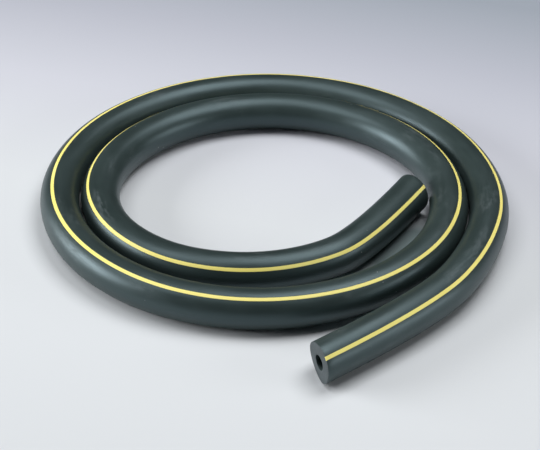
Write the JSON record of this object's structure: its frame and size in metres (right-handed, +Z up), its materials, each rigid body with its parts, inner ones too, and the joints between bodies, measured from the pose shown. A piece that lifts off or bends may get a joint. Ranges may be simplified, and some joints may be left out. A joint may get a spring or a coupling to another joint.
{
  "type": "rubber tubing coil",
  "caption": "Thick-walled black rubber vacuum tube with a yellow line along it and bare cut ends, lying flat in a loose coil.",
  "frame": {"origin": "middle of the coil's box, on the surface that it lies on", "axes": "+Z up out of the coil, +Y along the coil's longer side, away from the free outer end"},
  "size_m": [0.1939, 0.2182, 0.016],
  "materials": {
    "black_rubber": "satin",
    "yellow_rubber": "satin"
  },
  "bodies": {
    "root": {"tube_end": "black_rubber", "tube_coil": "black_rubber", "yellow_line": "yellow_rubber"}
  },
  "joints": []
}
